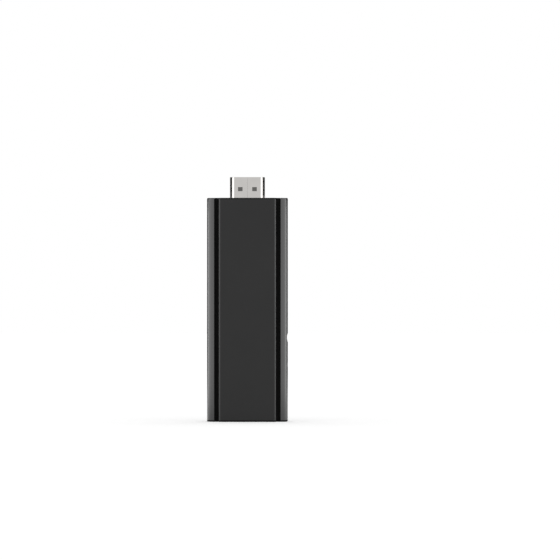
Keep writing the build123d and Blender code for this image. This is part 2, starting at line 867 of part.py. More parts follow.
with BuildPart() as bulk_capacitors:
    with BuildSketch(board_front):
        with Locations((0, board_bottom + bulk_place)):
            with GridLocations(bulk_spacing, 0, 2, 1):
                Rectangle(bulk_width, bulk_length)
    extrude(amount=bulk_height)
    chamfer(bulk_capacitors.faces().group_by(Axis.Y)[0].edges(), bulk_chamfer)

bulk_capacitors.part.label = "bulk_capacitors"
export_step(bulk_capacitors.part, "parts/bulk_capacitors.step")

crystal_z = shield_bottom - crystal_from_shield

with BuildPart() as crystals:
    with BuildSketch(board_front):
        with Locations((0, crystal_z)):
            with GridLocations(crystal_spacing, 0, 2, 1):
                Rectangle(crystal_width, crystal_length)
    extrude(amount=crystal_base_height)
    chamfer(crystals.edges().filter_by(Axis.Y), crystal_chamfer)
    with BuildSketch(board_front.offset(crystal_base_height)):
        with Locations((0, crystal_z)):
            with GridLocations(crystal_spacing, 0, 2, 1):
                Rectangle(crystal_width - 2 * crystal_lid_inset, crystal_length - 2 * crystal_lid_inset)
    extrude(amount=crystal_height - crystal_base_height)

crystals.part.label = "crystals"
export_step(crystals.part, "parts/crystals.step")

with BuildPart() as chip_capacitors:
    with BuildSketch(board_front):
        with Locations((0, memory_z)):
            with GridLocations(2 * (shield_half + chip_from_shield), chip_pitch, 2, chips_a_side):
                Rectangle(chip_width, chip_length)
    extrude(amount=chip_height)

chip_capacitors.part.label = "chip_capacitors"
export_step(chip_capacitors.part, "parts/chip_capacitors.step")

with BuildPart() as surge_arrays:
    with BuildSketch(board_front):
        with Locations((0, board_top - array_from_top)):
            with GridLocations(array_pitch, 0, array_count, 1):
                Rectangle(array_length, array_width)
    extrude(amount=array_height)

surge_arrays.part.label = "surge_arrays"
export_step(surge_arrays.part, "parts/surge_arrays.step")

with BuildPart() as filter_chokes:
    with BuildSketch(board_front):
        with Locations((0, board_top - choke_from_top)):
            with GridLocations(choke_pitch, 0, choke_count, 1):
                Rectangle(choke_length, choke_width)
    extrude(amount=choke_height)

filter_chokes.part.label = "filter_chokes"
export_step(filter_chokes.part, "parts/filter_chokes.step")


# Power inlet: folded shell with two legs through the board, tongue and five contacts
inlet_front = end_recess + inlet_set_back
tongue_y = inlet_middle_y + inlet_tongue_thickness / 2
inlet_contact_y = tongue_y - inlet_tongue_thickness / 2 - inlet_contact_thickness / 2

with BuildPart() as inlet_shell:
    with BuildSketch(Plane.XY.offset(inlet_front)):
        add(inlet_outline(0))
        add(inlet_outline(-inlet_sheet), mode=Mode.SUBTRACT)
    extrude(amount=inlet_length)
    with BuildSketch(Plane.XZ.offset(-inlet_middle_y)):
        with Locations((-inlet_leg_x, inlet_leg_z), (inlet_leg_x, inlet_leg_z)):
            Rectangle(inlet_sheet, inlet_leg_length)
    extrude(amount=inlet_middle_y)

inlet_shell.part.label = "inlet_shell"
export_step(inlet_shell.part, "parts/inlet_shell.step")

with BuildPart() as inlet_tongue:
    with BuildSketch(Plane.XY.offset(inlet_rear)):
        add(inlet_outline(-(inlet_sheet + insulator_gap)))
    extrude(amount=-inlet_base_length)
    with BuildSketch(Plane.XY.offset(inlet_rear)):
        with Locations((0, tongue_y)):
            Rectangle(inlet_tongue_width, inlet_tongue_thickness)
    extrude(amount=-(inlet_length - inlet_tongue_set_back))
    with BuildSketch(Plane.XY.offset(inlet_rear)):
        with Locations((0, inlet_contact_y)):
            with GridLocations(inlet_contact_pitch, 0, inlet_contact_count, 1):
                Rectangle(
                    inlet_contact_width + 2 * insulator_gap, inlet_contact_thickness + 2 * insulator_gap
                )
    extrude(amount=-(inlet_length - inlet_tongue_set_back), mode=Mode.SUBTRACT)

inlet_tongue.part.label = "inlet_tongue"
export_step(inlet_tongue.part, "parts/inlet_tongue.step")

contact_low_y = inlet_contact_y - inlet_contact_thickness / 2
contact_high_y = inlet_contact_y + inlet_contact_thickness / 2
foot_y = board_face + solder_gap
foot_start = inlet_rear + inlet_contact_thickness
outermost = inlet_contact_pitch * (inlet_contact_count - 1) / 2
inlet_contact_planes = [
    Plane.YZ.offset(inlet_contact_pitch * number - outermost) for number in range(inlet_contact_count)
]

with BuildPart() as inlet_contacts:
    with BuildSketch(*inlet_contact_planes):
        with BuildLine():
            Polyline(
                (contact_low_y, inlet_front + 2 * inlet_tongue_set_back),
                (contact_low_y, foot_start),
                (foot_y, foot_start),
                (foot_y, foot_start + inlet_foot_length),
                (foot_y + inlet_contact_thickness, foot_start + inlet_foot_length),
                (foot_y + inlet_contact_thickness, foot_start + inlet_contact_thickness),
                (contact_high_y, foot_start + inlet_contact_thickness),
                (contact_high_y, inlet_front + 2 * inlet_tongue_set_back),
                close=True,
            )
        make_face()
    extrude(amount=inlet_contact_width / 2, both=True)

inlet_contacts.part.label = "inlet_contacts"
export_step(inlet_contacts.part, "parts/inlet_contacts.step")


# Side switch, sunk in the board's notch: housing, cover, snap leaf and plunger, which moves along X
switch_back = board_half - switch_depth
switch_front_y = -switch_thickness / 2
cavity_back = switch_back + switch_floor
leaf_top = cavity_back + snap_leaf_rise + snap_leaf_thickness
plunger_rear = leaf_top + stop_gap
head_front = plunger_rear + plunger_head
plunger_tip = board_half + plunger_reach
plunger_y = switch_front_y + (switch_thickness - switch_floor) / 2
switch_cover_plane = Plane.XZ.offset(switch_thickness / 2)

with BuildPart() as switch_housing:
    with BuildSketch(switch_cover_plane):
        with Locations((switch_back, button_height)):
            Rectangle(switch_depth, switch_width, align=(Align.MIN, Align.CENTER))
    extrude(amount=-switch_thickness)
    with BuildSketch(switch_cover_plane):
        with Locations((cavity_back, button_height)):
            Rectangle(
                head_front + stop_gap - cavity_back,
                snap_leaf_length + 2 * plunger_gap,
                align=(Align.MIN, Align.CENTER),
            )
            Rectangle(switch_depth, plunger_width + 2 * plunger_gap, align=(Align.MIN, Align.CENTER))
    extrude(amount=-(switch_thickness - switch_floor), mode=Mode.SUBTRACT)

switch_housing.part.label = "switch_housing"
export_step(switch_housing.part, "parts/switch_housing.step")

with BuildPart() as switch_cover:
    with BuildSketch(switch_cover_plane):
        with Locations((switch_back, button_height)):
            Rectangle(
                switch_depth, switch_width + 2 * switch_wing, align=(Align.MIN, Align.CENTER)
            )
    extrude(amount=switch_sheet)
    with BuildSketch(switch_cover_plane):
        with Locations((switch_back, button_height)):
            wing_tip = switch_width / 2 + switch_wing
            for end in (-1, 1):
                with Locations((0, end * wing_tip)):
                    foot_side = Align.MIN if end < 0 else Align.MAX
                    Rectangle(switch_depth, switch_wing / 2, align=(Align.MIN, foot_side))
    extrude(amount=-(switch_thickness / 2 - board_face - solder_gap))

switch_cover.part.label = "switch_cover"
export_step(switch_cover.part, "parts/switch_cover.step")

with BuildPart() as switch_snap_leaf:
    with BuildSketch(Plane.XZ.offset(-plunger_y)):
        with BuildLine():
            ThreePointArc(
                (cavity_back + snap_leaf_thickness, button_height - snap_leaf_length / 2),
                (leaf_top - snap_leaf_thickness / 2, button_height),
                (cavity_back + snap_leaf_thickness, button_height + snap_leaf_length / 2),
            )
        trace(line_width=snap_leaf_thickness)
    extrude(amount=plunger_thickness / 2, both=True)

switch_snap_leaf.part.label = "switch_snap_leaf"
export_step(switch_snap_leaf.part, "parts/switch_snap_leaf.step")

with BuildPart() as switch_plunger:
    with BuildSketch(Plane.XZ.offset(-plunger_y)):
        with Locations((plunger_rear, button_height)):
            Rectangle(plunger_head, plunger_width + 2 * plunger_head, align=(Align.MIN, Align.CENTER))
            Rectangle(plunger_tip - plunger_rear, plunger_width, align=(Align.MIN, Align.CENTER))
    extrude(amount=plunger_thickness / 2, both=True)
    fillet(switch_plunger.faces().sort_by(Axis.X)[-1].edges().filter_by(Axis.Y), plunger_head / 2)

switch_plunger.part.label = "switch_plunger"
export_step(switch_plunger.part, "parts/switch_plunger.step")

# Side button: round cap in the shell's hole, flange behind the pad, stem on the plunger
button_plane = Plane.YZ.offset(pad_face_x - stop_gap)

with BuildPart() as side_button:
    with BuildSketch(button_plane):
        with Locations((0, button_height)):
            Circle(button_radius)
    extrude(amount=pad_face_depth - button_set_back + stop_gap)
    chamfer(side_button.faces().sort_by(Axis.X)[-1].edges(), button_chamfer)
    with BuildSketch(button_plane):
        with Locations((0, button_height)):
            Rectangle(button_flange_depth, button_flange_width)
    extrude(amount=-button_flange_thickness)
    with BuildSketch(button_plane):
        with Locations((0, button_height)):
            Circle(button_stem_radius)
    extrude(amount=-(pad_face_x - plunger_tip - 2 * stop_gap))

side_button.part.label = "side_button"
export_step(side_button.part, "parts/side_button.step")


# Status light: a side-emitting diode at the board's edge, and the light pipe in front of it
led_x = board_half - fit_gap

with BuildPart() as status_led:
    with BuildSketch(board_front):
        with Locations((led_x, light_height)):
            Rectangle(led_width, led_length, align=(Align.MAX, Align.CENTER))
    extrude(amount=led_height)
    chamfer(status_led.faces().sort_by(Axis.X)[0].edges().filter_by(Axis.Z), led_chamfer)

status_led.part.label = "status_led"
export_step(status_led.part, "parts/status_led.step")

with BuildPart() as light_pipe:
    with BuildSketch(button_plane):
        with Locations((ledge_back_y + fit_gap, light_height)):
            Rectangle(light_foot_depth, light_foot_width, align=(Align.MIN, Align.CENTER))
    extrude(amount=-(pad_face_x - stop_gap - board_half - fit_gap))
    chamfer(light_pipe.edges().filter_by(Axis.X), light_foot_chamfer)
    with BuildSketch(button_plane):
        with Locations((0, light_height)):
            Circle(light_radius)
    extrude(amount=pad_face_depth + stop_gap - light_set_back)

light_pipe.part.label = "light_pipe"
export_step(light_pipe.part, "parts/light_pipe.step")


# Heat plates: stamped, each with a pan pressed towards its thermal pad and a hole for each peg
front_plate_y = panel_inner_y + stop_gap
front_pan_y = front_plate_y + plate_thickness + pan_depth
lid_face_y = -(board_face + shield_height)
rear_plate_y = back_inner_y - stop_gap
rear_pan_y = rear_plate_y - plate_thickness - rear_pan_depth
flash_face_y = board_face + flash_height
pan_size = thermal_pad_size + 2 * pan_margin
hollow_size = pan_size - 2 * plate_thickness


def cropped(width, length, middle_z):
    # a stamped outline with its corners cropped
    with BuildSketch() as outline:
        with Locations((0, middle_z)):
            Rectangle(width, length)
        chamfer(outline.vertices(), plate_corner)
    return outline.sketch


with BuildPart() as front_heat_plate:
    with BuildSketch(Plane.XZ.offset(-front_plate_y)):
        add(cropped(plate_width, front_plate_length, front_plate_place + front_plate_length / 2))
        with Locations(*peg_spots):
            Circle(peg_radius + peg_hole_gap, mode=Mode.SUBTRACT)
    extrude(amount=-plate_thickness)
    with BuildSketch(Plane.XZ.offset(-(front_plate_y + plate_thickness))):
        add(cropped(pan_size, pan_size, processor_z))
    extrude(amount=-pan_depth, taper=pan_taper)
    with BuildSketch(Plane.XZ.offset(-front_plate_y)):
        add(cropped(hollow_size, hollow_size, processor_z))
    extrude(amount=-pan_depth, mode=Mode.SUBTRACT)

front_heat_plate.part.label = "front_heat_plate"
export_step(front_heat_plate.part, "parts/front_heat_plate.step")

with BuildPart() as front_thermal_pad:
    with BuildSketch(Plane.XZ.offset(-(front_pan_y + solder_gap))):
        with Locations((0, processor_z)):
            Rectangle(thermal_pad_size, thermal_pad_size)
    extrude(amount=-(lid_face_y - front_pan_y - 2 * solder_gap))

front_thermal_pad.part.label = "front_thermal_pad"
export_step(front_thermal_pad.part, "parts/front_thermal_pad.step")

with BuildPart() as rear_heat_plate:
    with BuildSketch(Plane.XZ.offset(-rear_plate_y)):
        add(cropped(plate_width, rear_plate_length, rear_plate_place + rear_plate_length / 2))
        with Locations(*rear_peg_spots):
            Circle(peg_radius + peg_hole_gap, mode=Mode.SUBTRACT)
    extrude(amount=plate_thickness)
    with BuildSketch(Plane.XZ.offset(plate_thickness - rear_plate_y)):
        add(cropped(pan_size, pan_size, flash_z))
    extrude(amount=rear_pan_depth, taper=pan_taper)
    with BuildSketch(Plane.XZ.offset(-rear_plate_y)):
        add(cropped(hollow_size, hollow_size, flash_z))
    extrude(amount=rear_pan_depth, mode=Mode.SUBTRACT)

rear_heat_plate.part.label = "rear_heat_plate"
export_step(rear_heat_plate.part, "parts/rear_heat_plate.step")

with BuildPart() as rear_thermal_pad:
    with BuildSketch(Plane.XZ.offset(-(rear_pan_y - solder_gap))):
        with Locations((0, flash_z)):
            Rectangle(rear_thermal_pad_size, rear_thermal_pad_size)
    extrude(amount=rear_pan_y - flash_face_y - 2 * solder_gap)

rear_thermal_pad.part.label = "rear_thermal_pad"
export_step(rear_thermal_pad.part, "parts/rear_thermal_pad.step")
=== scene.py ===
import json
from math import cos, pi, radians, sin
import bpy
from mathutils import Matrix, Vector

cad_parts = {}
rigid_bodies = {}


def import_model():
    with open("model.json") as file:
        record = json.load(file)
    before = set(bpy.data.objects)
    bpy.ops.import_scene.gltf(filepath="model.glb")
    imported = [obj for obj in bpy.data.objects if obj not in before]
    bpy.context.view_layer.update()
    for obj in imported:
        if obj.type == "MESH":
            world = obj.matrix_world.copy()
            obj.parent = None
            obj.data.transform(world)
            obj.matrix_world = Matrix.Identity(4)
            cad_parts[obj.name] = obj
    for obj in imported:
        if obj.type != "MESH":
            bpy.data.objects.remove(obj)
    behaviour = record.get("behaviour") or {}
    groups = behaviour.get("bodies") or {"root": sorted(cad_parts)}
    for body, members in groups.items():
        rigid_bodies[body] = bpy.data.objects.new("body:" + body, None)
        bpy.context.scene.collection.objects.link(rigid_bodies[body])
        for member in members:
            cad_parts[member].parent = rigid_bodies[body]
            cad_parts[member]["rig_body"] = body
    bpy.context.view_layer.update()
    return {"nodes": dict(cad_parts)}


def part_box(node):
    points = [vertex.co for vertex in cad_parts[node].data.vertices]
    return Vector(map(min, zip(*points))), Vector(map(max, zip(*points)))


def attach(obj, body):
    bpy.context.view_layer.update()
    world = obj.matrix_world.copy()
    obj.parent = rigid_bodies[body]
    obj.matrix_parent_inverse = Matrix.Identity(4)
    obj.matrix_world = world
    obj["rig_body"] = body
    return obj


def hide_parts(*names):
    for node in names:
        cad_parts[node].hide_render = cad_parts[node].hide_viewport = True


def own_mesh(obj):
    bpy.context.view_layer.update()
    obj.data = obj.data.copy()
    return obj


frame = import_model()
nodes = frame["nodes"]
mm = 0.001  # the scene is in metres
print("frame loaded:", len(nodes), "nodes")


def boxOf(nodeName):
    # a CAD node's lowest and highest corners, in millimetres
    low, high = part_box(nodeName)
    return Vector(low) / mm, Vector(high) / mm


# materials
surface = {
    "noiseLow": 0.3,  # most of a noise texture lies between these two
    "noiseHigh": 0.7,
    "cloudScale": 90,
    "cloudDrift": 0.03,  # how far a plastic's roughness drifts
    "wearScale": 300,
    "wearSmooth": 0.85,  # how far a metal's roughness drifts, as shares of it
    "wearRough": 1.2,
}


def startMaterial(name, colour, roughness, specular=0.5, metallic=0.0):
    material = bpy.data.materials.new(name)
    material.use_nodes = True
    tree = material.node_tree
    shader = tree.nodes["Principled BSDF"]
    shader.inputs["Base Color"].default_value = (*colour, 1)
    shader.inputs["Roughness"].default_value = roughness
    shader.inputs["Specular IOR Level"].default_value = specular
    shader.inputs["Metallic"].default_value = metallic
    return material, tree, shader


def objectSpace(tree, stretch=(1, 1, 1), turn=(0, 0, 0)):
    coordinates = tree.nodes.new("ShaderNodeTexCoord")
    mapping = tree.nodes.new("ShaderNodeMapping")
    mapping.inputs["Scale"].default_value = stretch
    mapping.inputs["Rotation"].default_value = [radians(angle) for angle in turn]
    tree.links.new(coordinates.outputs["Object"], mapping.inputs["Vector"])
    return mapping.outputs["Vector"]


def noise(tree, place, scale, detail=3.0):
    node = tree.nodes.new("ShaderNodeTexNoise")
    node.inputs["Scale"].default_value = scale
    node.inputs["Detail"].default_value = detail
    tree.links.new(place, node.inputs["Vector"])
    return node.outputs["Fac"]


def spread(tree, value, low, high, fromLow=surface["noiseLow"], fromHigh=surface["noiseHigh"]):
    # carries a value from one range to another
    node = tree.nodes.new("ShaderNodeMapRange")
    node.inputs["From Min"].default_value = fromLow
    node.inputs["From Max"].default_value = fromHigh
    node.inputs["To Min"].default_value = low
    node.inputs["To Max"].default_value = high
    tree.links.new(value, node.inputs["Value"])
    return node.outputs["Result"]


def blend(tree, value, first, second):
    node = tree.nodes.new("ShaderNodeMix")
    node.data_type = "RGBA"
    tree.links.new(value, node.inputs["Factor"])
    for socket, colour in ((node.inputs[6], first), (node.inputs[7], second)):
        if isinstance(colour, tuple):
            socket.default_value = (*colour, 1)
        else:
            tree.links.new(colour, socket)
    return node.outputs[2]


def merged(tree, operation, first, second):
    # one operation on two values, or on a value and a number
    node = tree.nodes.new("ShaderNodeMath")
    node.operation = operation
    for socket, value in zip(node.inputs, (first, second)):
        if isinstance(value, (int, float)):
            socket.default_value = value
        else:
            tree.links.new(value, socket)
    return node.outputs[0]


def roundMark(tree, place, middle, radius, fade=(0.85, 1.1)):
    # 1 inside a ball round a point in millimetres, 0 outside, with a soft rim
    distance = tree.nodes.new("ShaderNodeVectorMath")
    distance.operation = "DISTANCE"
    distance.inputs[1].default_value = [part * mm for part in middle]
    tree.links.new(place, distance.inputs[0])
    inner, outer = (radius * share * mm for share in fade)
    return spread(tree, distance.outputs["Value"], 1.0, 0.0, inner, outer)


def roughen(tree, shader, height, depth):
    bump = tree.nodes.new("ShaderNodeBump")
    bump.inputs["Strength"].default_value = 1.0
    bump.inputs["Distance"].default_value = depth
    tree.links.new(height, bump.inputs["Height"])
    tree.links.new(bump.outputs["Normal"], shader.inputs["Normal"])


def tinted(colour, share):
    return tuple(part * share for part in colour)


def plastic(name, colour, roughness, specular=0.5, grain=9000, grainDepth=0.004 * mm, vary=0.12):
    material, tree, shader = startMaterial(name, colour, roughness, specular)
    place = objectSpace(tree)
    fine = noise(tree, place, grain, 2.0)
    cloudy = noise(tree, place, surface["cloudScale"])
    share = spread(tree, cloudy, 0.0, 1.0)
    colours = blend(tree, share, tinted(colour, 1 - vary), tinted(colour, 1 + vary))
    tree.links.new(colours, shader.inputs["Base Color"])
    smooth, rough = roughness - surface["cloudDrift"], roughness + surface["cloudDrift"]
    tree.links.new(spread(tree, cloudy, smooth, rough), shader.inputs["Roughness"])
    roughen(tree, shader, fine, grainDepth)
    return material


def metal(name, colour, roughness, grainStretch=(1, 1, 12), grain=2500, grainDepth=0.001 * mm, vary=0.04):
    material, tree, shader = startMaterial(name, colour, roughness, 0.5, 1.0)
    drawn = noise(tree, objectSpace(tree, grainStretch), grain)
    worn = noise(tree, objectSpace(tree), surface["wearScale"], 4.0)
    share = spread(tree, worn, 0.0, 1.0)
    tree.links.new(blend(tree, share, tinted(colour, 1 - vary), colour), shader.inputs["Base Color"])
    smooth, rough = roughness * surface["wearSmooth"], roughness * surface["wearRough"]
    tree.links.new(spread(tree, worn, smooth, rough), shader.inputs["Roughness"])
    roughen(tree, shader, drawn, grainDepth)
    return material


# colour, roughness, specular level, scale and depth of the grain, and how far the colour varies;
# a metal has the stretch of its grain in place of the specular level
finishes = {
    "shellPlastic": plastic("shellPlastic", (0.014, 0.014, 0.0142), 0.19, 0.5, 9000, 0.0007 * mm, 0.06),
    "panelPlastic": plastic("panelPlastic", (0.0145, 0.0145, 0.0147), 0.5, 0.3, 9000, 0.003 * mm, 0.08),
    "edgePlastic": plastic("edgePlastic", (0.0145, 0.0145, 0.0147), 0.45, 0.44, 9000, 0.002 * mm, 0.08),
    # painted shade: a darker copy of the black plastic for the grooves, where shade falls
    "grooveShadePlastic": plastic("grooveShadePlastic", (0.0072, 0.0072, 0.0072), 0.8, 0.06),
    # painted shade: a darker copy for the housing's bottom edge
    "footShadePlastic": plastic("footShadePlastic", (0.005, 0.005, 0.005), 0.7, 0.08),
    # painted shade: a darker copy for the front panel's top edge
    "crownShadePlastic": plastic("crownShadePlastic", (0.01, 0.01, 0.01), 0.6, 0.2),
    "capPlastic": plastic("capPlastic", (0.012, 0.012, 0.0122), 0.45, 0.4),
    "buttonPlastic": plastic("buttonPlastic", (0.016, 0.016, 0.0165), 0.35, 0.5),
    "connectorPlastic": plastic("connectorPlastic", (0.15, 0.147, 0.14), 0.5, 0.4, 6000),
    "plugSteel": metal("plugSteel", (0.555, 0.54, 0.522), 0.1, (8, 8, 1), 2500, 0.0001 * mm),
    "contactGold": metal("contactGold", (0.78, 0.56, 0.24), 0.2, (1, 1, 6), 6000),
    "screwSteel": metal("screwSteel", (0.42, 0.42, 0.43), 0.28, (1, 6, 1), 5000),
    "shieldTin": metal("shieldTin", (0.62, 0.62, 0.6), 0.38, (1, 1, 10), 1800, 0.002 * mm),
    "plateAluminium": metal("plateAluminium", (0.72, 0.73, 0.74), 0.4, (12, 1, 1), 1500, 0.003 * mm),
    "chipEpoxy": plastic("chipEpoxy", (0.02, 0.02, 0.021), 0.6, 0.35, 12000, 0.006 * mm, 0.25),
    "ferriteGrey": plastic("ferriteGrey", (0.09, 0.09, 0.095), 0.7, 0.3, 7000, 0.01 * mm, 0.3),
    "capacitorOchre": plastic("capacitorOchre", (0.3, 0.19, 0.09), 0.5, 0.4, 8000, 0.003 * mm, 0.2),
    "ledCream": plastic("ledCream", (0.75, 0.7, 0.5), 0.4, 0.5, 8000, 0.002 * mm, 0.1),
    "plungerNylon": plastic("plungerNylon", (0.7, 0.7, 0.68), 0.45, 0.4, 7000, 0.003 * mm, 0.08),
    "thermalPadBlue": plastic("thermalPadBlue", (0.16, 0.3, 0.5), 0.75, 0.3, 3000, 0.02 * mm, 0.25),
    "padTin": metal("padTin", (0.66, 0.66, 0.65), 0.3, (1, 1, 1), 3000, 0.002 * mm, 0.15),
    "solderTin": metal("solderTin", (0.6, 0.6, 0.6), 0.22, (1, 1, 1), 1500, 0.006 * mm, 0.12),
    "ceramicWhite": plastic("ceramicWhite", (0.62, 0.6, 0.55), 0.55, 0.4, 9000, 0.004 * mm, 0.08),
    "chokeBrown": plastic("chokeBrown", (0.09, 0.06, 0.045), 0.5, 0.4, 9000, 0.004 * mm, 0.2),
    "glassEdge": plastic("glassEdge", (0.32, 0.33, 0.14), 0.6, 0.4, 3000, 0.01 * mm, 0.25),
    "phosphorYellow": plastic("phosphorYellow", (0.85, 0.62, 0.08), 0.35, 0.5, 6000, 0.003 * mm, 0.1),
    "polarityBrown": plastic("polarityBrown", (0.1, 0.045, 0.02), 0.5, 0.4, 8000, 0.003 * mm, 0.15),
}


screwThread = {
    "colour": (0.4, 0.4, 0.41),
    "pitch": 0.4,
    "depth": 0.06,
    "valley": 0.55,  # painted shade: share of the colour that is left between the ridges
    "wearScale": 2500,
    "roughness": (0.24, 0.36),
}
waveFactor = 20  # the wave texture repeats every 2 pi / (20 x its scale)


def threaded(name, thread):
    # steel with a thread cut round the shank, whose axis runs along Y, and painted shade in the thread's
    # valleys
    material, tree, shader = startMaterial(name, thread["colour"], 0.3, 0.5, 1.0)
    place = objectSpace(tree)
    wave = tree.nodes.new("ShaderNodeTexWave")
    wave.bands_direction = "Y"
    wave.inputs["Scale"].default_value = 2 * pi / (waveFactor * thread["pitch"] * mm)
    wave.inputs["Distortion"].default_value = 0.0
    tree.links.new(place, wave.inputs["Vector"])
    ridges = wave.outputs["Fac"]
    # painted shade: the valleys between the ridges are darkened
    shadedValley = tinted(thread["colour"], thread["valley"])
    tree.links.new(blend(tree, ridges, shadedValley, thread["colour"]), shader.inputs["Base Color"])
    worn = noise(tree, place, thread["wearScale"])
    tree.links.new(spread(tree, worn, *thread["roughness"]), shader.inputs["Roughness"])
    roughen(tree, shader, ridges, thread["depth"] * mm)
    return material


# copper runs in patches that go along or across the board, and vias; millimetres
boardPattern = {
    "runs": (
        {"turn": (90, 0, 0), "length": 9.0, "pitch": 0.62},
        {"turn": (90, 0, 90), "length": 6.0, "pitch": 0.74},
    ),
    "runWidth": 0.09,
    "runSoftness": 0.15,
    "patchScale": 0.16,
    "patchEdge": (0.49, 0.51),
    "viaScale": 0.4,
    "viaRing": (0.1, 0.115),  # where the tinned ring fades out, in cells of the pattern
    "viaHole": (0.05, 0.06),
    "viaTin": (0.7, 0.69, 0.66),
    "holeShade": (0.01, 0.01, 0.01),
    "speckleScale": 3.0,
    "speckleShade": 0.8,
    "roughness": (0.28, 0.4),
    "depth": 0.02,
}


def laminate(name, mask, copper):
    # solder mask over copper runs, with tinned vias whose holes get painted shade
    material, tree, shader = startMaterial(name, mask, 0.35)
    inMillimetres = (1 / mm, 1 / mm, 1 / mm)
    runs = []
    for run in boardPattern["runs"]:
        brick = tree.nodes.new("ShaderNodeTexBrick")
        brick.inputs["Scale"].default_value = 1.0
        brick.inputs["Brick Width"].default_value = run["length"]
        brick.inputs["Row Height"].default_value = run["pitch"]
        brick.inputs["Mortar Size"].default_value = boardPattern["runWidth"]
        brick.inputs["Mortar Smooth"].default_value = boardPattern["runSoftness"]
        tree.links.new(objectSpace(tree, inMillimetres, run["turn"]), brick.inputs["Vector"])
        runs.append(brick.outputs["Fac"])
    flat = objectSpace(tree, inMillimetres, (90, 0, 0))
    patches = noise(tree, flat, boardPattern["patchScale"], 0.0)
    patch = spread(tree, patches, 0.0, 1.0, *boardPattern["patchEdge"])
    along = merged(tree, "MULTIPLY", runs[0], patch)
    across = merged(tree, "MULTIPLY", runs[1], merged(tree, "SUBTRACT", 1.0, patch))
    lines = merged(tree, "MAXIMUM", along, across)
    cells = tree.nodes.new("ShaderNodeTexVoronoi")
    cells.voronoi_dimensions = "2D"
    cells.inputs["Scale"].default_value = boardPattern["viaScale"]
    tree.links.new(flat, cells.inputs["Vector"])
    ring = spread(tree, cells.outputs["Distance"], 1.0, 0.0, *boardPattern["viaRing"])
    hole = spread(tree, cells.outputs["Distance"], 1.0, 0.0, *boardPattern["viaHole"])
    speckle = spread(tree, noise(tree, flat, boardPattern["speckleScale"]), 0.0, 1.0)
    coat = blend(tree, speckle, tinted(mask, boardPattern["speckleShade"]), mask)
    coat = blend(tree, lines, coat, copper)
    coat = blend(tree, ring, coat, boardPattern["viaTin"])
    # painted shade: the via holes are darkened to stand for their depth
    coat = blend(tree, hole, coat, boardPattern["holeShade"])
    tree.links.new(coat, shader.inputs["Base Color"])
    tree.links.new(merged(tree, "SUBTRACT", ring, hole), shader.inputs["Metallic"])
    tree.links.new(spread(tree, speckle, *boardPattern["roughness"], 0.0, 1.0), shader.inputs["Roughness"])
    height = merged(tree, "SUBTRACT", merged(tree, "MAXIMUM", lines, ring), hole)
    roughen(tree, shader, height, boardPattern["depth"] * mm)
    return material


packageEpoxy = {
    "colour": (0.02, 0.02, 0.021),
    "dark": (0.016, 0.016, 0.017),
    "light": (0.026, 0.026, 0.027),
    "dimple": (0.045, 0.045, 0.046),
    "roughness": (0.6, 0.3),  # of the body and of the dimple
    "specular": 0.35,
    "grain": 12000,
    "grainShare": 0.25,  # the grain's depth beside the dimple's
    "cloud": 250,
    "depth": 0.03,
}
# each package's node, its dimple's distance from the sides, its radius, and a package's width in a pair
dimples = {
    "processorEpoxy": ("processor", 1.9, 0.45),
    "memoryEpoxy": ("memory_packages", 0.9, 0.32, 7.4),
    "flashEpoxy": ("flash_package", 1.1, 0.4),
    "controllerEpoxy": ("power_controller", 0.8, 0.28),
}


def moulded(name, nodeName, inset, dotRadius, width=0.0):
    # an epoxy package with a dimple at pin one, in the low corner of its outer face
    bodyRoughness, dimpleRoughness = packageEpoxy["roughness"]
    material, tree, shader = startMaterial(
        name, packageEpoxy["colour"], bodyRoughness, packageEpoxy["specular"]
    )
    low, high = boxOf(nodeName)
    outerY = low.y if high.y < 0 else high.y
    corners = [low.x + inset]
    if width:
        corners.append(high.x - width + inset)
    place = objectSpace(tree)
    marks = [roundMark(tree, place, (x, outerY, low.z + inset), dotRadius) for x in corners]
    mark = marks[0]
    for other in marks[1:]:
        mark = merged(tree, "MAXIMUM", mark, other)
    fine = noise(tree, place, packageEpoxy["grain"], 2.0)
    cloudy = spread(tree, noise(tree, place, packageEpoxy["cloud"]), 0.0, 1.0)
    body = blend(tree, cloudy, packageEpoxy["dark"], packageEpoxy["light"])
    tree.links.new(blend(tree, mark, body, packageEpoxy["dimple"]), shader.inputs["Base Color"])
    polish = spread(tree, mark, bodyRoughness, dimpleRoughness, 0.0, 1.0)
    tree.links.new(polish, shader.inputs["Roughness"])
    grain = merged(tree, "MULTIPLY", fine, packageEpoxy["grainShare"])
    roughen(tree, shader, merged(tree, "SUBTRACT", grain, mark), packageEpoxy["depth"] * mm)
    return material


finishes["boardGreen"] = laminate("boardGreen", (0.012, 0.085, 0.035), (0.03, 0.17, 0.07))
finishes["moduleGreen"] = laminate("moduleGreen", (0.006, 0.03, 0.016), (0.02, 0.08, 0.04))
finishes["threadSteel"] = threaded("threadSteel", screwThread)
for finish, dimple in dimples.items():
    finishes[finish] = moulded(finish, *dimple)

lightPipeFinish = {
    "tint": (0.9, 0.92, 0.92),
    "clearness": 0.85,
    "refraction": 1.58,
    "hazeScale": 1200,
    "roughness": (0.08, 0.22),
    "colours": ((0.8, 0.83, 0.84), (0.95, 0.96, 0.96)),
}


def clearPlastic(name, finish):
    material, tree, shader = startMaterial(name, finish["tint"], 0.12)
    shader.inputs["Transmission Weight"].default_value = finish["clearness"]
    shader.inputs["IOR"].default_value = finish["refraction"]
    hazy = noise(tree, objectSpace(tree), finish["hazeScale"])
    tree.links.new(spread(tree, hazy, *finish["roughness"]), shader.inputs["Roughness"])
    tree.links.new(blend(tree, hazy, *finish["colours"]), shader.inputs["Base Color"])
    return material


finishes["lightPipeClear"] = clearPlastic("lightPipeClear", lightPipeFinish)

